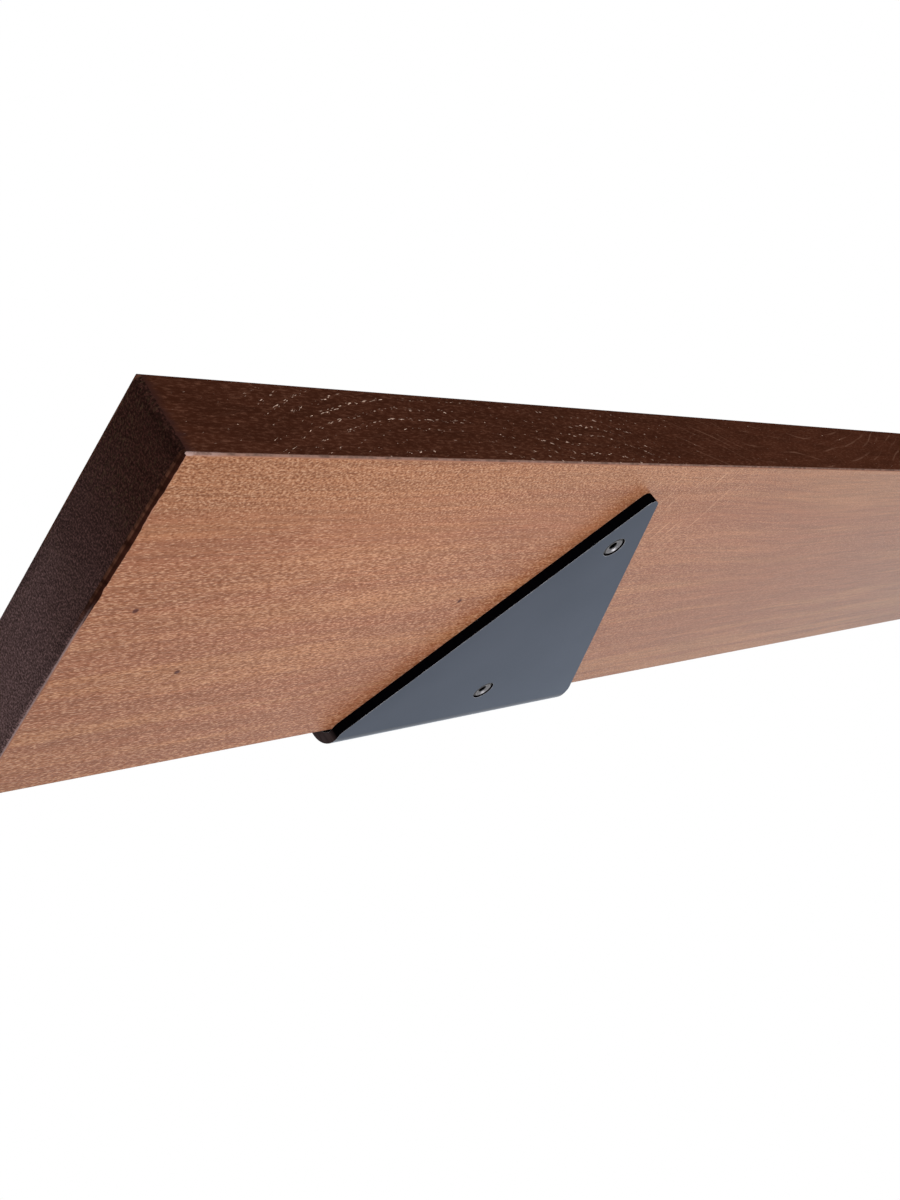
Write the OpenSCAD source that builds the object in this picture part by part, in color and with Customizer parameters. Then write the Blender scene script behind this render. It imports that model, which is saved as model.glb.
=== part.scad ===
// Wall shelf: a thick solid board carried by two folded steel brackets.
// Each bracket is one plate: a rounded triangle under the board, bent up into a flange
// that is screwed to the wall behind the board. Millimetres.
// X runs along the wall, Y points into the wall, Z is up.
// The origin is on the wall, midway between the brackets, at the height of the wall holes.

/* [Board] */
// Length of the board along the wall
board_l = 1500; // [1200:10:2400]
// Depth of the board from its front edge to its back edge
board_d = 200; // [160:1:300]
// Thickness of the board
board_t = 38; // [30:1:60]
// Radius of the eased edges along the front and back
long_edge_r = 1.2; // [0.5:0.1:4]
// Radius of the eased edges round the two ends
end_edge_r = 2; // [0.5:0.1:4]

/* [Bracket plate] */
// Thickness of the steel plate
plate_t = 6; // [4:0.5:8]
// Inside radius of the bend
bend_r = 7; // [4:0.5:8]
// Distance from the end of the board to the middle of the bracket
bracket_inset = 300; // [160:5:400]
// Distance from the front of the board to the sharp point of the triangle
point_setback = 15; // [5:1:40]
// Radius that rounds the point off
point_r = 5; // [2:0.5:10]
// Distance from the start of the bend forward to the shoulder, where the sloping side turns
shoulder_in = 4.5; // [2:0.5:12]
// Radius of the shoulder
shoulder_r = 8; // [2:0.5:16]

/* [Bracket flange] */
// Width of the flange on the wall
flange_w = 200; // [180:1:280]
// Height of the flange above the underside of the board
flange_h = 36; // [30:1:60]
// Radius of the upper corners of the flange
flange_corner_r = 5; // [1:0.5:10]
// Height of the wall holes above the underside of the board
wall_hole_h = 19; // [16:1:22]
// Distance from the middle wall hole to each outer one
wall_hole_pitch = 75; // [40:1:80]
// Diameter of the wall holes
wall_hole_d = 6.5; // [5:0.1:8]
// Diameter of the wall countersinks at the face
wall_csk_d = 13; // [10:0.1:14]

/* [Shelf screws] */
// Distance from the sharp point back to the front screw
front_screw_in = 40; // [34:1:70]
// Distance from the back edge of the board to the rear screw
rear_screw_in = 22.5; // [16:0.5:50]
// Diameter of the screw shank
screw_d = 6; // [4:0.5:8]
// Length of the screw from the top of its head to its tip
screw_l = 25; // [18:1:28]
// Diameter of the screw head
head_d = 12; // [9:0.1:12.6]
// Height of the straight edge round the head
head_land = 0.4; // [0.2:0.1:0.8]
// Width across the flats of the hexagon socket
hex_af = 4; // [2.5:0.5:5]
// Depth of the hexagon socket
hex_depth = 2.4; // [1.5:0.1:3]
// Width of the bevel round the mouth of the socket
hex_bevel = 0.5; // [0.2:0.1:0.8]
// Length of the bevel at the tip of the screw
tip_bevel = 0.8; // [0.4:0.1:1.5]
// Diameter of the countersink at the face of the plate
csk_d = 13.6; // [13:0.1:15]
// Diametral clearance of the screw in the plate
screw_clear = 0.6; // [0.2:0.1:1]

/* [Threaded inserts] */
// Outside diameter of the insert
insert_d = 10; // [8.5:0.5:12]
// Length of the insert
insert_l = 15; // [10:1:18]
// Depth that the insert lies below the underside of the board
insert_sink = 0.5; // [0.2:0.1:2]
// Width of the bevel at both ends of the insert
insert_bevel = 0.6; // [0.2:0.1:0.8]
// Free depth of the pilot hole past the tip of the screw
pilot_spare = 3; // [1:1:4]

/* [Fits] */
// Gap between a screw and its insert, and between a head and its countersink
thread_gap = 0.05; // [0.02:0.01:0.1]
// Gap between an insert and its hole in the board
insert_gap = 0.05; // [0.02:0.01:0.1]

/* [Hidden] */
$fn = 64;
// Overrun of a cut past the face that it leaves
cut = 1;

// The board stands off the wall by the plate and its bend, so its back edge meets the start of the bend
bend_out = plate_t + bend_r;
board_back = -bend_out;
board_front = board_back - board_d;
board_under = -wall_hole_h;
plate_under = board_under - plate_t;

// The sloping sides run from the point to the full width at the shoulder, just ahead of the bend
point_y = board_front + point_setback;
shoulder_y = board_back - shoulder_in;
half_w = flange_w / 2;
side_angle = atan2(half_w, shoulder_y - point_y);

bracket_x = board_l / 2 - bracket_inset;
front_screw_y = point_y + front_screw_in;
rear_screw_y = board_back - rear_screw_in;

// The head sinks until its cone meets the countersink, less the gap
shank_hole_d = screw_d + screw_clear;
head_sink = (csk_d - head_d) / 2 - head_land - thread_gap * sqrt(2);
head_cone = (head_d - screw_d) / 2;
screw_tip_z = plate_under + head_sink + screw_l;
insert_bore_d = screw_d + 2 * thread_gap;
insert_hole_d = insert_d + 2 * insert_gap;
insert_z = board_under + insert_sink;

// Outline helpers

// Rectangle centred on the origin, with its corners rounded
module rounded_rect(w, h, r) {
    square([w - 2 * r, h], center = true);
    square([w, h - 2 * r], center = true);
    for (x = [-1, 1], y = [-1, 1])
        translate([x * (w / 2 - r), y * (h / 2 - r)]) circle(r);
}

// Straight-sided block centred on the origin, rounded by end_r round its ends and by side_r along its sides
module eased_block(l, d, t, end_r, side_r) {
    intersection() {
        linear_extrude(t, center = true) rounded_rect(l, d, end_r);
        rotate([90, 0, 0]) linear_extrude(d, center = true) rounded_rect(l, t, end_r);
        rotate([90, 0, 90]) linear_extrude(l, center = true) rounded_rect(d, t, side_r);
    }
}

// Conical countersink that opens towards -Z at the origin and runs into a straight hole
module countersunk_hole(hole_d, face_d, depth) {
    cone = (face_d - hole_d) / 2;
    translate([0, 0, -cut]) cylinder(h = depth + 2 * cut, d = hole_d);
    cylinder(h = cone, d1 = face_d, d2 = hole_d);
    translate([0, 0, -cut]) cylinder(h = cut, d = face_d);
}

// Plan of the plate: a triangle with a rounded point, whose sides turn at the shoulders
module plate_plan() {
    // Centre of the point's arc, and where it meets the sides
    point_c = point_y + point_r / sin(side_angle);
    point_t = [point_r * cos(side_angle), point_c - point_r * sin(side_angle)];
    // The shoulder's arc, from the sloping side to the straight edge
    turn = shoulder_r * tan(side_angle / 2);
    shoulder_t = [half_w - turn * sin(side_angle), shoulder_y - turn * cos(side_angle)];
    // The straight edges run on past the wall, where the section ends the plate
    past_wall = shoulder_r;
    polygon([
        [-point_t.x, point_t.y], [point_t.x, point_t.y],
        shoulder_t, [half_w, shoulder_y + turn], [half_w, past_wall],
        [-half_w, past_wall], [-half_w, shoulder_y + turn], [-shoulder_t.x, shoulder_t.y]
    ]);
    translate([0, point_c]) circle(point_r);
    for (side = [-1, 1])
        translate([side * (half_w - shoulder_r), shoulder_y + turn]) circle(shoulder_r);
}

// Section of the folded plate across the wall: leg, bend and flange
module fold_section() {
    translate([board_front, plate_under]) square([board_d, plate_t]);
    translate([board_back, board_under + bend_r])
        intersection() {
            difference() {
                circle(bend_out);
                circle(bend_r);
            }
            translate([0, -bend_out]) square(bend_out);
        }
    translate([-plate_t, board_under + bend_r]) square([plate_t, flange_h - bend_r]);
}

// Square corner less its round, to be cut from the top of the flange
module flange_corner() {
    difference() {
        square(flange_corner_r + cut);
        circle(flange_corner_r);
    }
}

// Sub-parts

// Solid board with the holes for its four threaded inserts
module shelf_board() {
    color([0.36, 0.2, 0.14])
    difference() {
        translate([0, board_front + board_d / 2, board_under + board_t / 2])
            eased_block(board_l, board_d, board_t, end_edge_r, long_edge_r);
        for (x = [-bracket_x, bracket_x], y = [front_screw_y, rear_screw_y])
            translate([x, y, board_under]) {
                translate([0, 0, -cut])
                    cylinder(h = cut + insert_sink + insert_l, d = insert_hole_d);
                cylinder(h = screw_tip_z + pilot_spare - board_under, d = shank_hole_d);
            }
    }
}

// Folded triangular bracket, centred on the given X
module bracket(x) {
    color([0.16, 0.18, 0.2])
    translate([x, 0, 0])
    difference() {
        intersection() {
            rotate([90, 0, 90]) linear_extrude(flange_w + 2 * cut, center = true) fold_section();
            translate([0, 0, plate_under - cut])
                linear_extrude(plate_t + flange_h + 2 * cut) plate_plan();
        }
        for (y = [front_screw_y, rear_screw_y])
            translate([0, y, plate_under]) countersunk_hole(shank_hole_d, csk_d, plate_t);
        for (hole = [-1, 0, 1])
            translate([hole * wall_hole_pitch, -plate_t, 0])
                rotate([-90, 0, 0]) countersunk_hole(wall_hole_d, wall_csk_d, plate_t);
        for (side = [0, 1])
            mirror([side, 0, 0])
                translate([half_w - flange_corner_r, cut, board_under + flange_h - flange_corner_r])
                    rotate([90, 0, 0]) linear_extrude(plate_t + 2 * cut) flange_corner();
    }
}

// Countersunk screw with a hexagon socket, head down
module shelf_screw(x, y) {
    color([0.75, 0.75, 0.77])
    translate([x, y, plate_under + head_sink])
    difference() {
        union() {
            cylinder(h = head_land, d = head_d);
            translate([0, 0, head_land]) cylinder(h = head_cone, d1 = head_d, d2 = screw_d);
            cylinder(h = screw_l - tip_bevel, d = screw_d);
            translate([0, 0, screw_l - tip_bevel])
                cylinder(h = tip_bevel, d1 = screw_d, d2 = screw_d - 2 * tip_bevel);
        }
        translate([0, 0, -cut])
            linear_extrude(cut + hex_depth) circle(d = hex_af / cos(30), $fn = 6);
        translate([0, 0, -cut])
            cylinder(
                h = cut + hex_bevel,
                d1 = hex_af + 2 * (hex_bevel + cut),
                d2 = hex_af
            );
    }
}

// Threaded sleeve sunk into the underside of the board
module thread_insert(x, y) {
    color([0.72, 0.58, 0.3])
    translate([x, y, insert_z])
    difference() {
        union() {
            cylinder(h = insert_bevel, d1 = insert_d - 2 * insert_bevel, d2 = insert_d);
            translate([0, 0, insert_bevel]) cylinder(h = insert_l - 2 * insert_bevel, d = insert_d);
            translate([0, 0, insert_l - insert_bevel])
                cylinder(h = insert_bevel, d1 = insert_d, d2 = insert_d - 2 * insert_bevel);
        }
        translate([0, 0, -cut]) cylinder(h = insert_l + 2 * cut, d = insert_bore_d);
    }
}

shelf_board();
bracket(-bracket_x);  // bracket_left
bracket(bracket_x);  // bracket_right
shelf_screw(-bracket_x, front_screw_y);  // screw_left_front
shelf_screw(-bracket_x, rear_screw_y);  // screw_left_rear
shelf_screw(bracket_x, front_screw_y);  // screw_right_front
shelf_screw(bracket_x, rear_screw_y);  // screw_right_rear
thread_insert(-bracket_x, front_screw_y);  // insert_left_front
thread_insert(-bracket_x, rear_screw_y);  // insert_left_rear
thread_insert(bracket_x, front_screw_y);  // insert_right_front
thread_insert(bracket_x, rear_screw_y);  // insert_right_rear
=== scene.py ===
"""Looks of a bracket wall shelf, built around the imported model.

The board, the folded brackets, the screws and the threaded inserts keep the places and sizes of the
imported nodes. Each kind of piece has an operator, and the panel in the 3D view's sidebar lists them in
the order in which they run.
"""

import math
from functools import partial

import bmesh
import bpy
from bpy.props import (
    FloatProperty,
    FloatVectorProperty,
    IntProperty,
    PointerProperty,
)
from bpy.types import Operator, Panel, PropertyGroup
from mathutils import Matrix, Vector


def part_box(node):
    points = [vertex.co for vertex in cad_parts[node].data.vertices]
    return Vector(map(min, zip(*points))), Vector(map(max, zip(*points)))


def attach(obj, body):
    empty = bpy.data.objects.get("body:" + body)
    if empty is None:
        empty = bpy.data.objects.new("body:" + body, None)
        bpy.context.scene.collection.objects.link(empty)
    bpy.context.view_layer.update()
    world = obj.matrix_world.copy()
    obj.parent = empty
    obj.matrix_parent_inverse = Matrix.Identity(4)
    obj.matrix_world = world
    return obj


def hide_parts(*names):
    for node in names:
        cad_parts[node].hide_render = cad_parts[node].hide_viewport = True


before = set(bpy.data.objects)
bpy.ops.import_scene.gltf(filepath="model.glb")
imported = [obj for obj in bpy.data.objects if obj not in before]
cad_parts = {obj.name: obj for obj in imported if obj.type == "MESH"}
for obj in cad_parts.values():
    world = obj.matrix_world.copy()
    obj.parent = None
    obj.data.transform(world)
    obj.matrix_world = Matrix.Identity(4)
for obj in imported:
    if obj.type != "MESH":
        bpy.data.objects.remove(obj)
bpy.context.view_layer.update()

bl_info = {
    "name": "Bracket Wall Shelf",
    "version": (1, 0, 0),
    "blender": (4, 5, 0),
    "location": "3D View > Sidebar > Shelf",
    "description": "Dresses a solid wood wall shelf on folded steel brackets",
    "category": "Object",
}

BODY = "root"
BOARD = "shelf_board"
BRACKETS = ("bracket_left", "bracket_right")
SCREWS = ("screw_left_front", "screw_left_rear", "screw_right_front", "screw_right_rear")
INSERTS = ("insert_left_front", "insert_left_rear", "insert_right_front", "insert_right_rear")

# The board's far corner: half its length, its back edge and half its thickness
BOARD_END, BOARD_BACK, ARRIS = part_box(BOARD)[1]


def in_from_back(*distances):
    """Y at each distance in from the board's back edge."""
    return [BOARD_BACK - distance for distance in distances]


def under_board(x, distance):
    """A point of the underside at that distance in from the back edge."""
    return (x, BOARD_BACK - distance, -ARRIS)


# The middle of the tree lies this far below the middle of the board's thickness, at this Y
TREE_BELOW = 0.03
TREE_BACK = BOARD_BACK - 0.105

# Distances from the board's middle between which its marks change along it
PORES_FULL = (0.22, 0.5)
FACES_DARKEN = (0.6, 0.74)
EDGES_DARKEN = (0.2, 0.55)
FLECKS_FULL = (0.38, 0.5)
FLECKS_THIN = (0.69, 0.73)
GROWTH_LINES_THIN = (0.36, 0.46)

# Y between which its marks change across it, from the front towards the back
FRONT_DARK = in_from_back(0.191, 0.147)
PORES_LENGTHEN = in_from_back(0.157, 0.102)
BANDS_GROW = in_from_back(0.147, 0.047)
END_FRONT_DARK = in_from_back(0.196, 0.185)
# The next line sets where a painted grey haze on the end grain grows towards the wall
END_PAINTED_HAZE = in_from_back(0.167, 0.002)
END_INNER = in_from_back(0.127, 0.102)
END_SOFTENS = in_from_back(0.127, 0.067)

# Distances from its ends between which the stain changes; those below 0 are past the end
STAIN_REACH = (0.0007, 0.0001)
CORNER_STAIN = (0.0025, -0.0025)
# The next line sets where painted highlight beads near the corners fade
CORNER_BEADS = (0.017, -0.002)

# Distances from an arris at which a line starts and is full and, where there are four, thins and ends
FACE_RIM = (0.00017, 0.00004)
UNFLECKED = (0.0025, 0.0045)
SOFT_SHADE = (0.007, 0.0015)
DARK_BAND = (0.00195, 0.00175)
# The broken line and the thin line below are painted highlights on the rounded arris of the ends
BROKEN_HIGHLIGHT = (0.0021, 0.0018, 0.0011, 0.0006)
UNSTAINED_ROUND = (0.0012, 0.0008)
THIN_HIGHLIGHT = (0.0005, 0.0003, 0.00015, 0.00005)
# Width of the painted highlight along the lower arris of the long edges
HIGHLIGHT_WIDTH = 0.0012

# Spots of the underside, and the distances from their middles between which they fade
PIN_KNOTS = [
    under_board(x, distance)
    for x, distance in (
        (-0.7284, 0.1177),
        (-0.6866, 0.0735),
        (-0.5331, 0.1033),
        (0.214, 0.0612),
        (0.6035, 0.1521),
    )
]
KNOT_FADE = (0.0008, 0.0019)
RAY_PLACE = under_board(-0.4, 0.184)
RAY_FADE = (0.02, 0.075)

# Faces are told apart by a normal along an axis, by a length a little over the board's widest rounding
# and by one much smaller than any rounding
STRAIGHT = 0.99999
EASE = 0.0021
HAIR = 0.0001

WHITE = (1, 1, 1)


def colour_property(name, description, default):
    return FloatVectorProperty(
        name=name,
        description=description,
        subtype="COLOR",
        size=3,
        min=0,
        max=1,
        default=default,
    )


def length_property(name, description, default):
    return FloatProperty(name=name, description=description, unit="LENGTH", min=0, default=default)


def share_property(name, description, default):
    return FloatProperty(
        name=name,
        description=description,
        subtype="FACTOR",
        min=0,
        max=1,
        default=default,
    )


def strength_property(name, description, default):
    return FloatProperty(name=name, description=description, min=0, default=default)


def angle_property(name, description, degrees):
    return FloatProperty(
        name=name,
        description=description,
        subtype="ANGLE",
        default=math.radians(degrees),
    )


def place_property(name, description, default):
    return FloatVectorProperty(
        name=name,
        description=description,
        subtype="TRANSLATION",
        size=3,
        default=default,
    )


# Sizes and colours that a user would change


class BoardFinish(PropertyGroup):
    """Colours and grain of the solid wood board."""

    face: colour_property("Faces", "Oiled top and underside", (0.462, 0.197, 0.093))
    face_red: colour_property("Faces, red streaks", "Broad streaks along the grain", (0.378, 0.143, 0.072))
    # Pale fibres carry a painted sparkle highlight as well as their own paler colour
    face_pale_and_sparkle: colour_property("Faces, pale pores", "Short pale fibres and rays", (0.85, 0.485, 0.3))
    face_deep: colour_property("Faces, dark pores", "Short open pores", (0.235, 0.066, 0.018))
    # The long edges' dark colour is stain and painted shade
    edge: colour_property("Long edges", "Stained front and back edges", (0.052, 0.0155, 0.008))
    edge_light: colour_property("Light grain", "Lighter fibres of the stained edges", (0.15, 0.062, 0.038))
    fibre: colour_property("Growth lines", "Thin lines along the edges' growth rings", (0.27, 0.135, 0.09))
    fleck: colour_property("Flecks", "Pale fill in the pores of the edges", (0.8, 0.56, 0.44))
    # Painted highlight on the rounded arris between front and underside
    arris_highlight: colour_property("Worn arris", "Rubbed edge between front and underside", (0.225, 0.13, 0.103))
    # Painted highlights: beads at the corners and a thin line along the ends
    bead_highlight: colour_property("Bare wood", "Beads at the corners and line along the ends", (0.56, 0.4, 0.38))
    knot: colour_property("Pin knots", "Small dark knots in the faces", (0.075, 0.008, 0.002))
    arris: colour_property("Face rim", "Rim of the faces along the arris", (0.38, 0.18, 0.118))
    # The end grain's dark colour is stain and painted shade
    end: colour_property("End grain", "Stained end grain", (0.046, 0.0175, 0.0138))
    end_olive: colour_property("End grain, rays", "Pale rays in the end grain", (0.14, 0.092, 0.052))
    # Painted grey haze on the end grain towards the wall
    end_back_haze: colour_property("End grain, rear", "Paler end grain near the wall", (0.172, 0.106, 0.105))
    end_edge: colour_property("End arris", "Rounded edge of the end grain", (0.026, 0.0082, 0.0052))
    ring_pitch: length_property("Ring pitch", "Distance from one growth ring to the next", 0.0017)
    pore_depth: length_property("Pore depth", "Depth of the open pores", 0.0002)
    gloss: share_property("Oil roughness", "Roughness of the oiled faces", 0.3)
    shine: share_property("Oil shine", "Specular level of the oiled faces", 0.14)


class BracketFinish(PropertyGroup):
    """Powder coat of the folded brackets."""

    coat: colour_property("Coat", "Colour of the powder coat", (0.027, 0.0275, 0.0345))
    haze: colour_property("Haze", "Tint of the coat seen at a low angle", (0.53, 0.68, 0.94))
    bend_haze: colour_property("Bend haze", "Tint of the haze on the bend and flange", (0.56, 0.64, 0.78))
    haze_weight: share_property("Haze weight", "Strength of the haze", 1.0)
    bend_haze_weight: share_property("Bend haze weight", "Strength of the haze on the bend", 0.85)
    bend: length_property("Bend", "Outside radius of the bend", 0.013)
    edge_round: length_property("Edge round", "Radius that the coat leaves on the cut edges", 0.00045)
    # Painted highlight along the rounded edges of the brackets
    edge_highlight: colour_property("Edge tone", "Colour of the rounded edges", (0.5, 0.5, 0.52))
    # Near black: the coat's colour with painted shade, also in the holes and the hollow of the bend
    cut: colour_property("Cut edges", "Colour of the cut edges", (0.0012, 0.001, 0.0016))
    fold_end: colour_property("Bend ends", "Colour of the ends of the bend and flange", (0.06, 0.042, 0.042))


class FixingSizes(PropertyGroup):
    """Sizes of the socket screws and of the threaded inserts."""

    socket_width: length_property("Socket width", "Distance across the flats of the socket", 0.004)
    socket_depth: length_property("Socket depth", "Depth of the socket", 0.0024)
    dish_depth: length_property("Dish depth", "Depth of the dish inside the head's rim", 0.0008)
    thread_pitch: length_property("Thread pitch", "Pitch of the screw thread", 0.001)
    thread_depth: length_property("Thread depth", "Depth of the screw thread", 0.0005)
    insert_pitch: length_property("Insert pitch", "Pitch of the insert's outer thread", 0.002)
    insert_thread: length_property("Insert thread", "Depth of the insert's outer thread", 0.0008)
    segments: IntProperty(
        name="Segments",
        description="Faces round a screw or an insert",
        min=12,
        max=96,
        default=48,
    )
    turn_seed: IntProperty(
        name="Turn seed",
        description="Seed for how far each screw is turned",
        min=0,
        default=3,
    )
    steel: colour_property("Screw steel", "Colour of the screw heads", (0.2, 0.195, 0.205))
    # Painted shade inside each socket, and most of its strength on the head's rounded rim
    socket: colour_property("Socket", "Colour inside each socket", (0.004, 0.004, 0.004))
    brass: colour_property("Brass", "Colour of the inserts", (0.72, 0.5, 0.22))


class StageSettings(PropertyGroup):
    """Camera, lamps and floor."""

    camera_place: place_property(
        "Camera place", "Where the camera stands", (-1.005148, -0.452256, -0.261906)
    )
    camera_heading: angle_property("Heading", "Turn of the view from the wall's normal to the right", 54.198)
    camera_rise: angle_property("Rise", "Angle of the view above level", 23.025)
    camera_roll: angle_property("Roll", "Tilt of the camera round its own line of sight", 34.17)
    lens: FloatProperty(
        name="Lens",
        description="Focal length of the camera in millimetres",
        min=1,
        default=38.3625,
    )
    floor_level: FloatProperty(
        name="Floor level",
        description="Height of the floor",
        unit="LENGTH",
        default=-1.6,
    )
    floor_radius: length_property("Floor radius", "Radius of the floor", 3.6)
    floor_tone: colour_property("Floor tone", "Colour of the floor", (0.55, 0.55, 0.55))
    floor_lift: strength_property("Floor lift", "Glow that brightens the floor for the eye alone", 0.5)
    ambient: strength_property("Ambient", "Strength of the light from all round", 0.35)
    overhead: strength_property("Overhead", "Strength of the soft light from above", 1.5)
    overhead_spread: angle_property("Overhead spread", "Width of the soft light from above", 40)
    under: strength_property("Underlight", "Power of the soft lamp below the near end in watts", 7.1)
    under_place: place_property("Underlight place", "Where the lower lamp hangs", (-0.8, -0.74, -0.8))
    under_aim: place_property("Underlight aim", "Where the lower lamp points", (-0.47, -0.13, 0.0))
    under_width: length_property("Underlight width", "Width of the lower lamp", 0.6)
    under_height: length_property("Underlight height", "Height of the lower lamp", 0.5)


# Nodes


def feed(tree, socket, value):
    """Links an input to another socket, or gives it a plain value."""
    if isinstance(value, bpy.types.NodeSocket):
        tree.links.new(value, socket)
    elif socket.type == "RGBA" and len(value) == 3:
        socket.default_value = (*value, 1)
    else:
        socket.default_value = value


def add_node(tree, kind, inputs=None, **settings):
    """A new node with its settings made first, because some of them change its inputs."""
    node = tree.nodes.new(kind)
    for name, value in settings.items():
        setattr(node, name, value)
    for key, value in (inputs or {}).items():
        feed(tree, node.inputs[key], value)
    return node


class Finish:
    """A material whose nodes are added by short calls, so that a pattern reads from top to bottom."""

    def __init__(self, name, sockets):
        self.material = bpy.data.materials.new(name)
        self.material.use_nodes = True
        self.tree = self.material.node_tree
        self.shader = self.tree.nodes["Principled BSDF"]
        for socket, value in sockets.items():
            self.shade(socket, value)
        self.place = self.add("ShaderNodeTexCoord").outputs["Object"]

    def add(self, kind, inputs=None, **settings):
        return add_node(self.tree, kind, inputs, **settings)

    def shade(self, socket, value):
        """Feeds one of the shader's own inputs."""
        feed(self.tree, self.shader.inputs[socket], value)

    def relief(self, height, depth, strength=1.0):
        """Small dents and grooves from a height between 0 and 1."""
        inputs = {"Height": height, "Distance": depth, "Strength": strength}
        self.shade("Normal", self.add("ShaderNodeBump", inputs).outputs[0])

    def math(self, operation, *values):
        inputs = dict(enumerate(values))
        return self.add("ShaderNodeMath", inputs, operation=operation).outputs[0]

    def times(self, first, *others):
        """All the values multiplied."""
        for other in others:
            first = self.math("MULTIPLY", first, other)
        return first

    def plus(self, value, amount, other):
        """The value and that amount of another one."""
        return self.math("MULTIPLY_ADD", other, amount, value)

    def rest(self, share):
        """What is left of 1."""
        return self.math("SUBTRACT", 1.0, share)

    def parts(self, vector):
        """The three parts of a vector, each as a socket."""
        return self.add("ShaderNodeSeparateXYZ", {0: vector}).outputs[:3]

    def vector(self, x, y, z):
        return self.add("ShaderNodeCombineXYZ", {0: x, 1: y, 2: z}).outputs[0]

    def length(self, vector):
        return self.add("ShaderNodeVectorMath", {0: vector}, operation="LENGTH").outputs[1]

    def away_from(self, point):
        """Distance from a point."""
        inputs = {0: self.place, 1: point}
        return self.add("ShaderNodeVectorMath", inputs, operation="DISTANCE").outputs[1]

    def noise(self, per_metre, detail=2.0, roughness=0.5, at=None, shift=(0, 0, 0)):
        """Noise from 0 to 1 with that many cells a metre along X, Y and Z."""
        place = self.place if at is None else at
        scaled = self.add("ShaderNodeMapping", {"Vector": place, "Scale": per_metre, "Location": shift})
        inputs = {"Vector": scaled.outputs[0], "Scale": 1.0, "Detail": detail, "Roughness": roughness}
        return self.add("ShaderNodeTexNoise", inputs).outputs[0]

    def fade(self, value, start, end, first=0.0, last=1.0):
        """first at start, last at end and a smooth change between; start may lie above end."""
        inputs = {0: value, 1: start, 2: end, 3: first, 4: last}
        return self.add("ShaderNodeMapRange", inputs, interpolation_type="SMOOTHSTEP").outputs[0]

    def vary(self, noise, low, high):
        """The noise spread from low to high."""
        return self.fade(noise, 0.3, 0.7, low, high)

    def blend(self, share, first, second):
        """The first colour where share is 0 and the second where it is 1."""
        return self.add("ShaderNodeMix", {0: share, 6: first, 7: second}, data_type="RGBA").outputs[2]

    def bright(self, colour, factor):
        """The colour times a number."""
        return self.add("ShaderNodeVectorMath", {0: colour, "Scale": factor}, operation="SCALE").outputs[0]


# Wood


def off_middle(wood):
    """How far a point lies across and above the middle of the tree, which wanders along the board."""
    x, y, z = wood.parts(wood.place)
    along = wood.vector(x, 0.0, 0.0)
    wander = wood.noise((4.0, 1.0, 1.0), detail=1.0, at=along, shift=(3.1, 0, 0))
    middle = wood.plus(TREE_BACK, 0.06, wander)
    return wood.math("SUBTRACT", y, middle), wood.math("ADD", z, TREE_BELOW)


def swaying(wood, amount):
    """The place with its grain swaying a little to both sides along the board."""
    x, y, z = wood.parts(wood.place)
    sway = wood.noise((3.5, 9.0, 9.0), detail=1.0, shift=(0.6, 0.2, 0))
    return wood.vector(x, wood.plus(y, amount, sway), z)


def oiled_faces(look):
    """Top and underside: orange brown, short open pores, red streaks, a few rays and pin knots."""
    wood = Finish("oiled_faces", {"Roughness": look.gloss, "Specular IOR Level": look.shine})
    x, y, _ = wood.parts(wood.place)
    away = wood.math("ABSOLUTE", x)
    laid = swaying(wood, 0.015)
    ragged = wood.noise((9.0, 30.0, 30.0), shift=(2.2, 5.1, 0))
    inward = wood.fade(wood.plus(y, 0.06, ragged), *PORES_LENGTHEN)
    lines = wood.noise((16.0, 560.0, 560.0), detail=3.0, roughness=0.65, at=laid)

    # Pores are short along the front, longer further in, and fewer in the middle of the board
    short = wood.noise((760.0, 1200.0, 1200.0), detail=1.0, at=laid)
    long = wood.noise((490.0, 1700.0, 1700.0), detail=1.0, at=laid, shift=(4.0, 1.0, 0))
    fine = wood.math("ADD", wood.times(short, wood.rest(inward)), wood.times(long, inward))
    quiet = wood.fade(away, *PORES_FULL, 0.45, 1.0)
    pale = wood.times(wood.fade(fine, 0.52, 0.7), quiet)
    deep = wood.times(wood.fade(fine, 0.49, 0.33), quiet)

    colour = wood.blend(red_share(wood, y, laid, inward), look.face, look.face_red)
    colour = wood.bright(colour, wood.vary(lines, 0.85, 1.15))
    colour = wood.blend(wood.times(deep, 0.82), colour, look.face_deep)
    # Pale fibres with a painted sparkle highlight
    colour = wood.blend(wood.times(pale, 0.6), colour, look.face_pale_and_sparkle)
    colour = wood.blend(ray_lines(wood), colour, look.face_pale_and_sparkle)
    darker = wood.times(wood.fade(y, *FRONT_DARK, 0.9, 1.0), wood.fade(away, *FACES_DARKEN, 1.0, 0.88))
    colour = wood.bright(colour, darker)
    for knot in PIN_KNOTS:
        colour = wood.blend(wood.fade(wood.away_from(knot), *KNOT_FADE, 0.94, 0.0), colour, look.knot)
    colour = wood.blend(stain_border(wood), colour, look.end_edge)
    wood.shade("Base Color", colour)
    wood.relief(wood.plus(fine, 0.3, lines), look.pore_depth)
    return wood.material


def red_share(wood, y, laid, inward):
    """Share of red in the faces: clouds, streaks along the grain, and bands that grow towards the wall."""
    clouds = wood.noise((3.0, 9.0, 9.0), shift=(0.4, 0.7, 0))
    streaks = wood.noise((3.5, 75.0, 75.0), detail=3.0, roughness=0.6, at=laid)
    bands = wood.noise((4.0, 130.0, 130.0), at=laid, shift=(5.3, 1.1, 0))
    red = wood.plus(wood.times(inward, 0.14), 0.9, clouds)
    red = wood.plus(red, 0.9, streaks)
    swing = wood.fade(y, *BANDS_GROW, 0.04, 0.3)
    red = wood.math("ADD", red, wood.times(wood.vary(bands, -1.0, 1.0), swing))
    return wood.fade(red, 0.76, 1.16)


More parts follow.
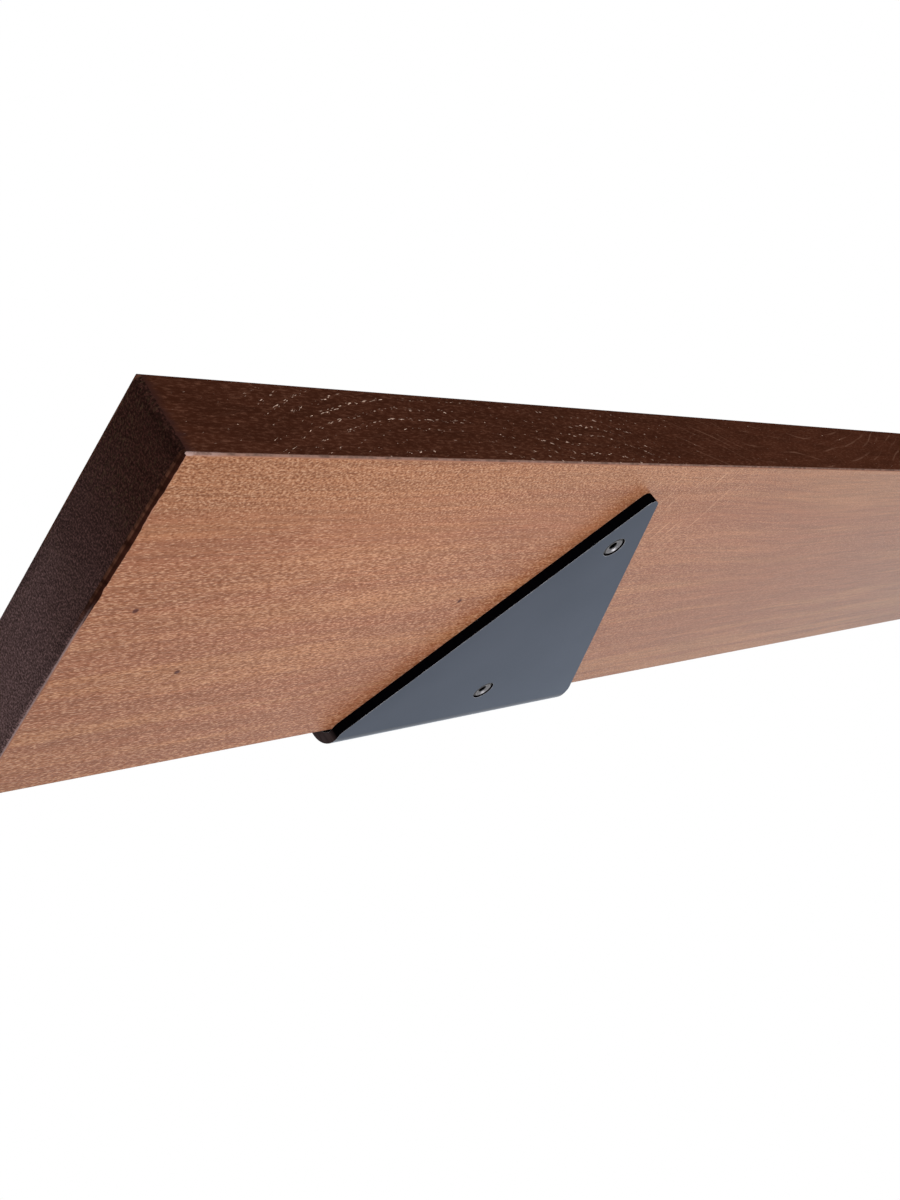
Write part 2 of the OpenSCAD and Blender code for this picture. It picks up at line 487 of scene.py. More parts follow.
def stain_border(wood):
    """1 where an end's stain has bled over its rounded edge: ragged in front, straight near the wall."""
    x, y, _ = wood.parts(wood.place)
    inner = wood.fade(y, *END_INNER)
    ragged = wood.noise((30.0, 110.0, 30.0), roughness=0.4, shift=(0, 1.2, 0))
    widest = 0.0024
    bleed = wood.times(ragged, wood.plus(widest, -widest, inner))
    reach = wood.math("ADD", wood.math("ABSOLUTE", x), bleed)
    return end_fade(wood, wood.plus(reach, 0.0009, inner), STAIN_REACH)


def end_fade(wood, along, distances):
    """0 at the first distance from the board's ends and 1 at the second."""
    return wood.fade(along, *(BOARD_END - distance for distance in distances))


def ray_lines(wood):
    """Share of thin pale lines that cross the grain, thickest in one place under the board."""
    turned = wood.add("ShaderNodeMapping", {"Vector": wood.place, "Rotation": (0, 0, 1.33)})
    x, y, z = wood.parts(turned.outputs[0])
    bow = wood.noise((7.0, 7.0, 7.0), detail=1.0, shift=(0.3, 0.9, 0))
    crossing = wood.vector(x, wood.plus(y, 0.03, bow), z)
    lines = wood.fade(wood.noise((42.0, 620.0, 42.0), at=crossing), 0.6, 0.7)
    near = wood.fade(wood.away_from(RAY_PLACE), *RAY_FADE, 0.6, 0.0)
    spots = wood.noise((4.0, 8.0, 8.0), detail=1.0, shift=(0.8, 0.4, 0))
    return wood.times(lines, wood.math("MAXIMUM", near, wood.fade(spots, 0.64, 0.76, 0.0, 0.35)))


def growth_rows(wood, x, z):
    """Height that follows the growth rings where they leave the long edges in low arches."""
    arch = wood.math("SINE", wood.plus(4.33, 10.0, x))
    drift = wood.noise((7.0, 1.0, 1.0), at=wood.vector(x, 0.0, 0.0), shift=(1.3, 0, 0))
    return wood.plus(wood.plus(z, 0.05, drift), 0.04, arch)


def stained_and_shaded_edges(look):
    """Front and back edges: dark stain and painted shade, with pale pore fill along the growth rings and a
    painted highlight at the arris.
    """
    wood = Finish("stained_and_shaded_edges", {"Roughness": 0.75, "Specular IOR Level": 0.0})
    x, y, z = wood.parts(wood.place)
    away = wood.math("ABSOLUTE", x)
    height = growth_rows(wood, x, z)
    laid = wood.vector(x, y, height)
    rows = wood.math("SINE", wood.times(height, math.tau / (look.ring_pitch * 3.5)))
    below = arris_line(wood, z, UNFLECKED)

    fine = wood.noise((260.0, 1000.0, 1000.0), detail=3.0, roughness=0.7)
    soft = wood.noise((40.0, 260.0, 260.0))
    # Dark stain with painted shade
    base = wood.bright(look.edge, wood.vary(soft, 0.9, 1.14))
    base = wood.bright(base, wood.fade(away, *EDGES_DARKEN, 1.45, 1.0))
    colour = wood.blend(wood.fade(wood.plus(fine, 0.1, soft), 0.5, 0.82, 0.0, 0.9), base, look.edge_light)

    flecks = wood.times(pore_flecks(wood, laid, rows, away), below)
    colour = wood.blend(growth_lines(wood, laid, rows, away, below), colour, look.fibre)
    colour = wood.blend(flecks, colour, look.fleck)

    ragged = wood.noise((120.0, 500.0, 500.0), shift=(5.0, 0, 0))
    corner = wood.plus(away, 0.008, ragged)
    colour = wood.blend(end_fade(wood, corner, CORNER_STAIN), colour, look.end)
    colour = arris_with_painted_highlight(wood, look, colour, z, corner)
    wood.shade("Base Color", colour)
    wood.relief(wood.math("ADD", fine, flecks), look.pore_depth * 0.8)
    return wood.material


def pore_flecks(wood, laid, rows, away):
    """Share of pale fill in the pores, which lie in rows and are fewer in the middle of the board."""
    thick = wood.times(
        wood.fade(away, *FLECKS_FULL, 0.25, 1.0),
        wood.fade(away, *FLECKS_THIN, 1.0, 0.3),
    )
    here = wood.times(wood.fade(rows, 0.0, 0.9), thick)
    drift = wood.noise((14.0, 60.0, 60.0), shift=(0, 0, 0.7))
    here = wood.times(here, wood.fade(drift, 0.3, 0.6, 0.55, 1.15))
    marks = wood.noise((330.0, 1300.0, 1300.0), detail=1.5, roughness=0.6, at=laid, shift=(1.7, 0, 0.4))
    flecks = wood.fade(wood.plus(marks, 0.13, here), 0.732, 0.8)
    return wood.times(flecks, wood.fade(wood.noise((90.0, 260.0, 260.0)), 0.38, 0.6, 0.35, 1.0))


def growth_lines(wood, laid, rows, away, below):
    """Share of the thin lines along the growth rings, which show most in the middle of the board."""
    patches = wood.noise((34.0, 300.0, 300.0), detail=3.0, at=laid, shift=(0.9, 0, 0))
    lines = wood.times(wood.fade(patches, 0.48, 0.66, 0.0, 0.42), wood.fade(rows, 0.72, 0.96))
    return wood.times(lines, below, wood.fade(away, *GROWTH_LINES_THIN, 1.0, 0.15))


def arris_with_painted_highlight(wood, look, colour, z, corner):
    """The colour of a long edge with a painted highlight along its lower arris, and painted highlight beads
    near the corners.
    """
    tilt = wood.math("DIVIDE", wood.math("ADD", z, ARRIS - HIGHLIGHT_WIDTH), HIGHLIGHT_WIDTH)
    beads = wood.noise((260.0, 260.0, 260.0), roughness=0.6, shift=(2.0, 0, 0))
    # Painted highlight along the lower arris, broken up by beads
    painted_highlight = wood.bright(look.arris_highlight, wood.vary(beads, 0.65, 1.35))
    colour = wood.blend(wood.fade(wood.plus(tilt, 0.5, beads), -0.2, 0.08, 1.0, 0.0), colour, painted_highlight)
    rim = arris_line(wood, wood.math("ABSOLUTE", z), FACE_RIM)
    colour = wood.blend(rim, colour, look.arris)
    # Painted highlight beads near the corners
    corner_highlight = wood.times(end_fade(wood, corner, CORNER_BEADS), wood.fade(tilt, -0.1, -0.3))
    return wood.blend(wood.times(corner_highlight, wood.fade(beads, 0.42, 0.6, 0.1, 0.6)), colour, look.bead_highlight)


def sealed_and_shaded_ends(look):
    """End grain: nearly black stain with painted shade, pale rays and broken rings round the tree, and paler
    at the wall with a painted grey haze.
    """
    wood = Finish("sealed_and_shaded_ends", {"Roughness": 0.6, "Specular IOR Level": 0.0})
    _, y, z = wood.parts(wood.place)
    across, up = off_middle(wood)
    distance = wood.plus(wood.length(wood.vector(across, up, 0.0)), 0.006, wood.noise((9.0, 40.0, 40.0)))
    polar = wood.vector(wood.times(wood.math("ARCTAN2", across, up), 0.09), distance, 0.0)
    rays = wood.fade(wood.noise((1500.0, 330.0, 1.0), detail=3.0, roughness=0.7, at=polar), 0.5, 0.66)
    rings = wood.noise((45.0, 560.0, 1.0), roughness=0.6, at=polar)
    specks = wood.noise((1100.0, 1100.0, 1100.0), roughness=0.7)
    clouds = wood.noise((24.0, 24.0, 24.0))

    # Painted grey haze towards the wall
    back = wood.fade(wood.plus(y, 0.05, clouds), *END_PAINTED_HAZE)
    colour = wood.blend(back, look.end, look.end_back_haze)
    lift = wood.math("SUBTRACT", wood.vary(rings, 0.86, 1.1), 0.42)
    colour = wood.bright(colour, wood.plus(lift, 1.5, wood.fade(specks, 0.42, 0.7)))
    patch = wood.noise((26.0, 26.0, 26.0), detail=1.0, shift=(0, 0.33, 0.1))
    colour = wood.blend(wood.times(rays, wood.fade(patch, 0.4, 0.62, 0.05, 0.4)), colour, look.end_olive)
    colour = wood.bright(colour, wood.fade(wood.plus(y, 0.012, clouds), *END_FRONT_DARK, 0.6, 1.0))

    wood.shade("Base Color", end_arris(wood, look, colour, y, wood.math("ABSOLUTE", z)))
    wood.relief(wood.math("ADD", specks, rays), look.pore_depth * 0.6)
    return wood.material


def end_arris(wood, look, colour, y, height):
    """The colour of an end with its arris: a dark band and a broken painted highlight, or near the wall soft
    painted shade and one thin painted highlight.
    """
    inner = wood.fade(y, *END_INNER)
    outer = wood.rest(inner)
    streaky = wood.noise((40.0, 300.0, 40.0), shift=(0, 3.0, 0))
    soft = wood.times(arris_line(wood, height, SOFT_SHADE), wood.fade(y, *END_SOFTENS, 0.3, 0.12), inner)
    colour = wood.bright(colour, wood.rest(soft))
    band = wood.bright(look.end_edge, wood.vary(streaky, 0.7, 1.4))
    colour = wood.blend(wood.times(arris_line(wood, height, DARK_BAND), outer), colour, band)
    # Painted highlight: a broken lighter line on the rounded arris
    broken = wood.times(arris_line(wood, height, BROKEN_HIGHLIGHT), wood.fade(streaky, 0.36, 0.66, 0.1, 0.75))
    colour = wood.blend(wood.times(broken, outer), colour, look.edge_light)
    unstained = wood.vary(stain_border(wood), 1.0, 0.0)
    rounding = wood.times(arris_line(wood, height, UNSTAINED_ROUND), unstained)
    colour = wood.blend(rounding, colour, look.arris)
    # Painted highlight: a thin pale line near the wall
    return wood.blend(wood.times(arris_line(wood, height, THIN_HIGHLIGHT), inner, 0.4), colour, look.bead_highlight)


def arris_line(wood, height, distances):
    """Share of a line along an arris, by the distances where it starts, is full, thins out and ends."""
    start, full, *rest = (ARRIS - distance for distance in distances)
    line = wood.fade(height, start, full)
    if rest:
        line = wood.times(line, wood.fade(height, *rest, 1.0, 0.0))
    return line


# Metal


def powder_coat(look, name, haze, haze_weight):
    """Black powder coat with a fine orange peel and a grey haze at low angles."""
    coat = Finish(
        name,
        {
            "Roughness": 0.34,
            "Specular IOR Level": 0.04,
            "Sheen Weight": haze_weight,
            "Sheen Roughness": 0.38,
            "Sheen Tint": haze,
        },
    )
    clouds = coat.noise((14.0, 14.0, 14.0))
    peel = coat.noise((900.0, 900.0, 900.0))
    coat.shade("Base Color", coat.bright(look.coat, coat.vary(clouds, 0.8, 1.3)))
    coat.relief(peel, 0.00002, 0.6)
    return coat.material


def shaded_cut_edges(look):
    """Cut edges of the plate, its holes and the hollow of the bend: the same coat, dull and nearly black
    with painted shade, and browner at the ends of the bend.
    """
    coat = Finish("shaded_cut_edges", {"Roughness": 0.7, "Specular IOR Level": 0.0})
    side, _, _ = coat.parts(coat.add("ShaderNodeNewGeometry").outputs["Normal"])
    _, y, _ = coat.parts(coat.place)
    sideways = coat.fade(coat.math("ABSOLUTE", side), 0.94, 0.995)
    on_fold = coat.fade(y, -look.bend - 0.002, -look.bend + 0.004)
    grain = coat.noise((500.0, 500.0, 90.0))
    colour = coat.blend(coat.times(sideways, on_fold), look.cut, look.fold_end)
    coat.shade("Base Color", coat.bright(colour, coat.vary(grain, 0.8, 1.25)))
    coat.relief(grain, 0.00003, 0.6)
    return coat.material


def highlit_rounded_edges(look):
    """Thin rounding between the faces and the cut edges, pale with a painted highlight."""
    coat = Finish("highlit_rounded_edges", {"Roughness": 0.45, "Specular IOR Level": 0.1})
    # Breaks in the painted highlight
    highlight_breaks = coat.noise((160.0, 160.0, 160.0), detail=3.0, roughness=0.65)
    coat.shade("Base Color", coat.bright(look.edge_highlight, coat.vary(highlight_breaks, 0.4, 1.3)))
    return coat.material


def screw_steel(look):
    """Dark zinc steel with fine turning marks, with painted shade inside the socket and on the rounded rim.
    """
    steel = Finish("screw_steel", {"Metallic": 1.0, "Roughness": 0.4})
    grain = steel.noise((2500.0, 2500.0, 400.0))
    # The attribute carries painted shade: 1 in the socket, 0.85 on the rounded rim
    inside = steel.add("ShaderNodeAttribute", attribute_name="inside").outputs["Fac"]
    colour = steel.blend(inside, look.steel, look.socket)
    steel.shade("Base Color", steel.bright(colour, steel.vary(grain, 0.85, 1.15)))
    steel.relief(grain, 0.00001, 0.5)
    return steel.material


def turned_brass(look):
    """Plain turned brass with fine tool marks along the thread."""
    brass = Finish("turned_brass", {"Metallic": 1.0, "Roughness": 0.32})
    marks = brass.noise((300.0, 300.0, 5000.0))
    brass.shade("Base Color", brass.bright(look.brass, brass.vary(marks, 0.85, 1.1)))
    brass.relief(marks, 0.00001, 0.5)
    return brass.material


# Board and brackets


def show(name, data):
    piece = bpy.data.objects.new(name, data)
    bpy.context.scene.collection.objects.link(piece)
    return piece


def seat(piece, nodes):
    """The piece rides on the shelf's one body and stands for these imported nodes."""
    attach(piece, BODY)
    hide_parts(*nodes)


def plain_mesh(shape, name):
    """Ends a bmesh and keeps it as a mesh of that name."""
    mesh = bpy.data.meshes.new(name)
    shape.to_mesh(mesh)
    shape.free()
    return mesh


def is_flat(face):
    return max(abs(part) for part in face.normal) > STRAIGHT


def merged_copy(node, name):
    """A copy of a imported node's mesh with its loose triangles joined, smooth where it is rounded."""
    shape = bmesh.new()
    shape.from_mesh(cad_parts[node].data)
    bmesh.ops.remove_doubles(shape, verts=shape.verts, dist=1e-6)
    bmesh.ops.dissolve_limit(
        shape,
        angle_limit=math.radians(0.1),
        verts=shape.verts,
        edges=shape.edges,
        delimit={"NORMAL"},
    )
    shape.normal_update()
    crease = math.radians(25)
    for face in shape.faces:
        face.smooth = True
    for edge in shape.edges:
        sides = [is_flat(face) for face in edge.link_faces]
        edge.smooth = sides[0] == sides[-1] and edge.calc_face_angle(0) < crease
    return plain_mesh(shape, name)


FACES, LONG_EDGES, ENDS = range(3)


def board_finish(face, low, high):
    """Which finish a face of the board has; the walls of its holes are as the faces."""
    middle = face.center
    at_end = min(middle.x - low.x, high.x - middle.x) < EASE
    at_edge = min(middle.y - low.y, high.y - middle.y) < EASE
    in_hole = min(middle.z - low.z, high.z - middle.z) > HAIR and not (at_end or at_edge)
    if abs(face.normal.z) > STRAIGHT or in_hole:
        return FACES
    return ENDS if at_end else LONG_EDGES


def make_board(look):
    mesh = merged_copy(BOARD, "wood_board")
    for finish in (oiled_faces(look), stained_and_shaded_edges(look), sealed_and_shaded_ends(look)):
        mesh.materials.append(finish)
    low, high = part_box(BOARD)
    for face in mesh.polygons:
        face.material_index = board_finish(face, low, high)
    seat(show("wood_board", mesh), [BOARD])


COAT, CUT, ROUNDED, BEND = range(4)


def bracket_finish(face, low, high, bend):
    """Which finish a face of a bracket has; cut, with its painted shade, are the outline, the holes and the
    hollow of the bend.
    """
    normal = face.normal
    middle = face.center
    along_axis = 0.99
    if middle.y < high.y - bend - HAIR:
        return CUT if abs(normal.z) < along_axis else COAT
    if middle.z > low.z + bend + HAIR:
        return CUT if abs(normal.y) < along_axis else BEND
    at_side = abs(normal.x) > 0.5
    in_hollow = normal.z > 0.01
    return CUT if at_side or in_hollow else BEND


def make_brackets(look):
    finishes = (
        powder_coat(look, "powder_coat", look.haze, look.haze_weight),
        shaded_cut_edges(look),
        highlit_rounded_edges(look),
        powder_coat(look, "powder_coat_bend", look.bend_haze, look.bend_haze_weight),
    )
    for node in BRACKETS:
        name = f"folded_{node}"
        mesh = merged_copy(node, name)
        for finish in finishes:
            mesh.materials.append(finish)
        low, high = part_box(node)
        for face in mesh.polygons:
            face.material_index = bracket_finish(face, low, high, look.bend)
        bracket = show(name, mesh)
        rounding = bracket.modifiers.new("Rounded edges", "BEVEL")
        rounding.width = look.edge_round
        rounding.segments = 2
        rounding.material = ROUNDED
        rounding.limit_method = "ANGLE"
        rounding.angle_limit = math.radians(40)
        rounding.harden_normals = False
        seat(bracket, [node])


# Screws and inserts


def ring_of(shape, count, radius, height):
    """One closed row of points; the radius is a number or a function of the angle."""
    row = []
    for step in range(count):
        angle = math.tau * step / count
        reach = radius(angle) if callable(radius) else radius
        row.append(shape.verts.new((reach * math.cos(angle), reach * math.sin(angle), height)))
    return row


def join_rows(shape, rows):
    """The faces between rows, as one list for each band."""
    bands = []
    for first, second in zip(rows, rows[1:]):
        band = []
        for step in range(len(first)):
            after = (step + 1) % len(first)
            band.append(shape.faces.new((first[step], first[after], second[after], second[step])))
        bands.append(band)
    return bands


def hexagon_radius(width):
    """Distance from the middle of a hexagon to its side as a function of the angle."""

    def radius(angle):
        off_flat = (angle + math.pi / 6) % (math.pi / 3) - math.pi / 6
        return width / 2 / math.cos(off_flat)

    return radius


def thread_rows(shape, count, start, end, crest, depth, pitch):
    """Rows of points that wind a thread between two heights and run out smoothly at both ends."""
    rows = []
    rows_per_turn = 6
    total = max(2, round((end - start) / pitch * rows_per_turn))
    for index in range(total + 1):
        height = start + (end - start) * index / total
        run = min(1.0, (height - start) / pitch, (end - height) / pitch)

        def radius(angle, height=height, run=run):
            phase = (height / pitch - angle / math.tau) % 1
            wave = abs(2 * phase - 1)
            return crest - depth * (1 - run * wave)

        rows.append(ring_of(shape, count, radius, height))
    return rows


def turned_mesh(shape, name):
    """Ends a turned shape, smooth but for its creases."""
    crease = math.radians(30)
    bmesh.ops.recalc_face_normals(shape, faces=shape.faces)
    for face in shape.faces:
        face.smooth = True
    for edge in shape.edges:
        edge.smooth = edge.calc_face_angle(0) < crease
    return plain_mesh(shape, name)


def screw_shape(sizes):
    """A countersunk socket screw that points up from its head face at height 0."""
    low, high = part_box(SCREWS[0])
    length = high.z - low.z
    head = (high.x - low.x) / 2
    shank = 0.003
    land = 0.0004
    neck = land + (head - shank)
    rim = head - 0.0014
    rim_round = 0.001
    round_drop = 0.00038
    dish = sizes.dish_depth
    dish_slope = 0.85
    chamfer = 0.00035
    chamfer_drop = 0.0004
    lip = 0.0001
    lip_drop = 0.00004
    drilled = 0.12
    drill_drop = 0.0006
    runout = 0.001
    tip = 0.0008
    flats = hexagon_radius(sizes.socket_width)
    mouth = sizes.socket_width / 2 / math.cos(math.pi / 6) + chamfer
    count = sizes.segments
    shape = bmesh.new()
    inside = shape.faces.layers.float.new("inside")
    # From the drilled bottom of the socket over the dish and the flat, rounded rim to the neck
    profile = (
        (lambda angle: flats(angle) * drilled, sizes.socket_depth + drill_drop),
        (flats, sizes.socket_depth),
        (flats, dish + chamfer_drop),
        (mouth, dish + lip_drop),
        (mouth + lip, dish),
        (rim - dish * dish_slope, dish),
        (rim, 0.0),
        (head - rim_round, 0.0),
        (head, round_drop),
        (head, land),
        (shank, neck),
    )
    rows = [ring_of(shape, count, radius, height) for radius, height in profile]
    rows += thread_rows(
        shape,
        count,
        neck + runout,
        length - tip,
        shank,
        sizes.thread_depth,
        sizes.thread_pitch,
    )
    rows.append(ring_of(shape, count, shank - tip, length))
    bands = join_rows(shape, rows)
    floor = shape.faces.new(rows[0])
    shape.faces.new(rows[-1])
    # Painted shade: near black in the socket, and nearly as dark on the rounded rim for the shadow of the
    # gap round the head
    shaded_socket = (floor, *bands[0], *bands[1], *bands[2])
    shaded_rim = (*bands[7], *bands[8])
    for faces, shade in ((shaded_socket, 1.0), (shaded_rim, 0.85)):
        for face in faces:
            face[inside] = shade
    return turned_mesh(shape, "socket_screw")


def insert_shape(sizes):
    """A threaded insert that points up from its lower face at height 0."""
    low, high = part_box(INSERTS[0])
    length = high.z - low.z
    outer = (high.x - low.x) / 2
    root = outer - sizes.insert_thread
    bore = 0.0031
    bevel = 0.0006
    mouth = bore + bevel / 2
    count = sizes.segments
    shape = bmesh.new()
    rows = [ring_of(shape, count, *point) for point in ((bore, bevel), (mouth, 0.0), (root, 0.0))]
    rows += thread_rows(
        shape,
        count,
        bevel,
        length - bevel,
        outer,
        sizes.insert_thread,
        sizes.insert_pitch,
    )
    upper = ((root, length), (mouth, length), (bore, length - bevel))
    rows += [ring_of(shape, count, *point) for point in upper]
    rows.append(rows[0])
    join_rows(shape, rows)
    return turned_mesh(shape, "threaded_insert")


def bolt_pattern_tree():
    """Puts one fastener at each of four points, two under each bracket, each turned by its own angle."""
    tree = bpy.data.node_groups.new("bolt_pattern", "GeometryNodeTree")
    sockets = (
        ("Fastener", "NodeSocketObject"),
        ("Finish", "NodeSocketMaterial"),
        ("Bracket distance", "NodeSocketFloat"),
        ("Front place", "NodeSocketFloat"),
        ("Rear place", "NodeSocketFloat"),
        ("Level", "NodeSocketFloat"),
        ("Turn seed", "NodeSocketInt"),
    )
    names = {}
    for name, kind in sockets:
        names[name] = tree.interface.new_socket(name=name, in_out="INPUT", socket_type=kind).identifier
    tree.interface.new_socket(name="Geometry", in_out="OUTPUT", socket_type="NodeSocketGeometry")

    add = partial(add_node, tree)
    given = add("NodeGroupInput").outputs
    distance = given["Bracket distance"]
    front = given["Front place"]
    half = add("ShaderNodeMath", {0: distance, 1: -0.5}, operation="MULTIPLY").outputs[0]
    gap = add("ShaderNodeMath", {0: given["Rear place"], 1: front}, operation="SUBTRACT").outputs[0]
    left = add("ShaderNodeCombineXYZ", {"X": half}).outputs[0]
    across = add("ShaderNodeCombineXYZ", {"X": distance}).outputs[0]
    first = add("ShaderNodeCombineXYZ", {"Y": front, "Z": given["Level"]}).outputs[0]
    back = add("ShaderNodeCombineXYZ", {"Y": gap}).outputs[0]
    brackets = add("GeometryNodeMeshLine", {"Count": 2, "Start Location": left, "Offset": across})
    holes = add("GeometryNodeMeshLine", {"Count": 2, "Start Location": first, "Offset": back})
    pattern = add(
        "GeometryNodeInstanceOnPoints",
        {"Points": brackets.outputs[0], "Instance": holes.outputs[0]},
    )
    points = add("GeometryNodeRealizeInstances", {0: pattern.outputs[0]})
    fastener = add("GeometryNodeObjectInfo", {"Object": given["Fastener"]})
    turn = add("FunctionNodeRandomValue", {"Seed": given["Turn seed"], 3: math.pi / 3}, data_type="FLOAT")
    angle = add("ShaderNodeCombineXYZ", {"Z": turn.outputs[1]}).outputs[0]
    placed = add(
        "GeometryNodeInstanceOnPoints",
        {"Points": points.outputs[0], "Instance": fastener.outputs["Geometry"], "Rotation": angle},
    )
    real = add("GeometryNodeRealizeInstances", {0: placed.outputs[0]})
    painted = add("GeometryNodeSetMaterial", {"Geometry": real.outputs[0], "Material": given["Finish"]})
    add("NodeGroupOutput", {0: painted.outputs[0]})
    return tree, names


def make_fixings(name, master_mesh, finish, nodes, seed):
    """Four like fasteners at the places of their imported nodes, as one plain mesh."""
    master = show("master", master_mesh)
    carrier = show("carrier", bpy.data.meshes.new("carrier"))
    tree, names = bolt_pattern_tree()
    modifier = carrier.modifiers.new("Bolt pattern", "NODES")
    modifier.node_group = tree
    boxes = [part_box(node) for node in nodes]
    left_front, left_rear, right_front, _ = [(low + high) / 2 for low, high in boxes]
    values = {
        "Fastener": master,
        "Finish": finish,
        "Bracket distance": right_front.x - left_front.x,
        "Front place": left_front.y,
        "Rear place": left_rear.y,
        "Level": boxes[0][0].z,
        "Turn seed": seed,
    }
    for key, value in values.items():
        modifier[names[key]] = value
    bpy.context.view_layer.update()
    evaluated = carrier.evaluated_get(bpy.context.evaluated_depsgraph_get())
    mesh = bpy.data.meshes.new_from_object(evaluated)
    if len(mesh.vertices) != len(nodes) * len(master_mesh.vertices):
        raise RuntimeError(f"{name}: the bolt pattern gave {len(mesh.vertices)} points")
    mesh.name = name
    bpy.data.objects.remove(carrier)
    bpy.data.objects.remove(master)
    seat(show(name, mesh), nodes)


# Stage


def white_to_the_eye(tree):
    """1 for rays from the camera, a mirror or glass, and 0 for rays that light the object."""
    path = add_node(tree, "ShaderNodeLightPath").outputs
    total = path["Is Camera Ray"]
    for name in ("Is Glossy Ray", "Is Transmission Ray"):
        total = add_node(tree, "ShaderNodeMath", {0: total, 1: path[name]}, operation="MAXIMUM").outputs[0]
    return total


def make_world(stage):
    """Even light from all round, with a white surround for the eye."""
    world = bpy.data.worlds.new("soft_room")
    bpy.context.scene.world = world
    world.use_nodes = True
    tree = world.node_tree
    light = tree.nodes["Background"]
    feed(tree, light.inputs["Color"], WHITE)
    feed(tree, light.inputs["Strength"], stage.ambient)
    seen = add_node(tree, "ShaderNodeBackground", {"Color": WHITE})
    inputs = {0: white_to_the_eye(tree), 1: light.outputs[0], 2: seen.outputs[0]}
    mix = add_node(tree, "ShaderNodeMixShader", inputs)
    feed(tree, tree.nodes["World Output"].inputs[0], mix.outputs[0])


def floor_paint(stage):
    """Pale floor that keeps the soft shadow near the middle and runs out to white at its rim."""
    paint = Finish(
        "floor_paint",
        {"Base Color": stage.floor_tone, "Roughness": 1.0, "Specular IOR Level": 0.0},
    )
    eye = white_to_the_eye(paint.tree)
    paint.shade("Emission Color", WHITE)
    paint.shade("Emission Strength", paint.times(eye, stage.floor_lift))
    rim = paint.fade(paint.length(paint.place), stage.floor_radius * 0.5, stage.floor_radius * 0.95)
    white = paint.add("ShaderNodeEmission", {"Color": WHITE, "Strength": 1.0})
    inputs = {0: paint.times(eye, rim), 1: paint.shader.outputs[0], 2: white.outputs[0]}
    mix = paint.add("ShaderNodeMixShader", inputs)
    feed(paint.tree, paint.tree.nodes["Material Output"].inputs[0], mix.outputs[0])
    return paint.material


def make_floor(stage):
    shape = bmesh.new()
    bmesh.ops.create_circle(shape, cap_ends=True, segments=96, radius=stage.floor_radius)
    mesh = plain_mesh(shape, "floor")
    mesh.materials.append(floor_paint(stage))
    floor = show("floor", mesh)
    floor.location.z = stage.floor_level


def make_lamps(stage):
    """A broad soft light from above and a soft lamp that fills the underside of the near end."""
    above = bpy.data.lights.new("overhead", "SUN")
    above.energy = stage.overhead
    above.angle = stage.overhead_spread
    show("overhead", above)
    below = bpy.data.lights.new("under_softbox", "AREA")
    below.shape = "RECTANGLE"
    below.size = stage.under_width
    below.size_y = stage.under_height
    below.energy = stage.under
    lamp = show("under_softbox", below)
    lamp.location = stage.under_place
    lamp.rotation_euler = (stage.under_aim - stage.under_place).to_track_quat("-Z", "Y").to_euler()
    lamp.visible_camera = False


def make_camera(stage):
    """A camera turned by its heading, then raised, then rolled."""
    heading = stage.camera_heading
    rise = stage.camera_rise
    roll = stage.camera_roll
    level = math.cos(rise)
    ahead = Vector((math.sin(heading) * level, math.cos(heading) * level, math.sin(rise)))
    level_right = Vector((math.cos(heading), -math.sin(heading), 0))
    level_up = level_right.cross(ahead)
    right = level_right * math.cos(roll) - level_up * math.sin(roll)
    up = level_up * math.cos(roll) + level_right * math.sin(roll)
    lens = bpy.data.cameras.new("camera")
    lens.sensor_width = 36
    lens.lens = stage.lens
    camera = show("camera", lens)
    axes = Matrix((right, up, -ahead)).transposed().to_4x4()
    camera.matrix_world = Matrix.Translation(stage.camera_place) @ axes
    bpy.context.scene.camera = camera


# Operators and panel


class SHELF_OT_board(Operator):
    """Makes the wooden board with its oiled faces, stained edges and end grain"""

    bl_idname = "shelf.board"
    bl_label = "Board"

    def execute(self, context):
        make_board(context.scene.shelf_board)
        return {"FINISHED"}


class SHELF_OT_brackets(Operator):
    """Makes both folded steel brackets with rounded edges and powder coat"""

    bl_idname = "shelf.brackets"
    bl_label = "Brackets"

    def execute(self, context):
        make_brackets(context.scene.shelf_brackets)
        return {"FINISHED"}


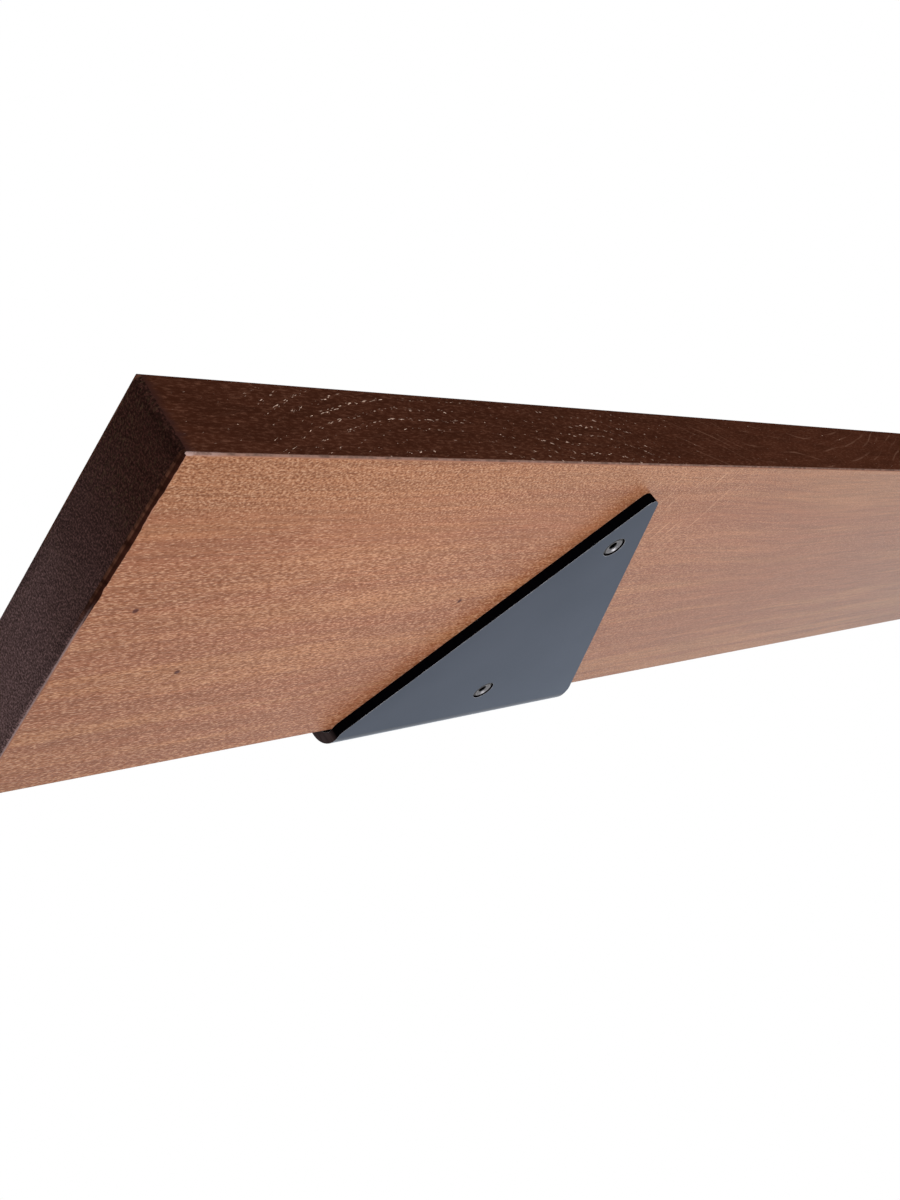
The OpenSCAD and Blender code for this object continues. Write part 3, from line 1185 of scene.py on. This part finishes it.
class SHELF_OT_screws(Operator):
    """Makes the four countersunk socket screws"""

    bl_idname = "shelf.screws"
    bl_label = "Screws"

    def execute(self, context):
        sizes = context.scene.shelf_fixings
        make_fixings(
            "socket_screws",
            screw_shape(sizes),
            screw_steel(sizes),
            SCREWS,
            sizes.turn_seed,
        )
        return {"FINISHED"}


class SHELF_OT_inserts(Operator):
    """Makes the four threaded inserts inside the board"""

    bl_idname = "shelf.inserts"
    bl_label = "Inserts"

    def execute(self, context):
        sizes = context.scene.shelf_fixings
        make_fixings(
            "threaded_inserts",
            insert_shape(sizes),
            turned_brass(sizes),
            INSERTS,
            sizes.turn_seed,
        )
        return {"FINISHED"}


class SHELF_OT_stage(Operator):
    """Sets up the floor, the lamps, the surround and the camera"""

    bl_idname = "shelf.stage"
    bl_label = "Stage"

    def execute(self, context):
        stage = context.scene.shelf_stage
        context.scene.view_settings.view_transform = "Standard"
        make_world(stage)
        make_floor(stage)
        make_lamps(stage)
        make_camera(stage)
        return {"FINISHED"}


STEPS = (SHELF_OT_board, SHELF_OT_brackets, SHELF_OT_screws, SHELF_OT_inserts, SHELF_OT_stage)


class SHELF_PT_steps(Panel):
    """Lists the steps that build the shelf"""

    bl_idname = "SHELF_PT_steps"
    bl_label = "Bracket Wall Shelf"
    bl_space_type = "VIEW_3D"
    bl_region_type = "UI"
    bl_category = "Shelf"

    def draw(self, context):
        for step in STEPS:
            self.layout.operator(step.bl_idname)


GROUPS = (
    ("shelf_board", BoardFinish),
    ("shelf_brackets", BracketFinish),
    ("shelf_fixings", FixingSizes),
    ("shelf_stage", StageSettings),
)


def register():
    for name, group in GROUPS:
        bpy.utils.register_class(group)
        setattr(bpy.types.Scene, name, PointerProperty(type=group))
    for step in (*STEPS, SHELF_PT_steps):
        bpy.utils.register_class(step)


def unregister():
    for step in reversed((*STEPS, SHELF_PT_steps)):
        bpy.utils.unregister_class(step)
    for name, group in reversed(GROUPS):
        delattr(bpy.types.Scene, name)
        bpy.utils.unregister_class(group)


def main():
    register()
    bpy.ops.shelf.board()
    bpy.ops.shelf.brackets()
    bpy.ops.shelf.screws()
    bpy.ops.shelf.inserts()
    bpy.ops.shelf.stage()


if __name__ == "__main__":
    main()
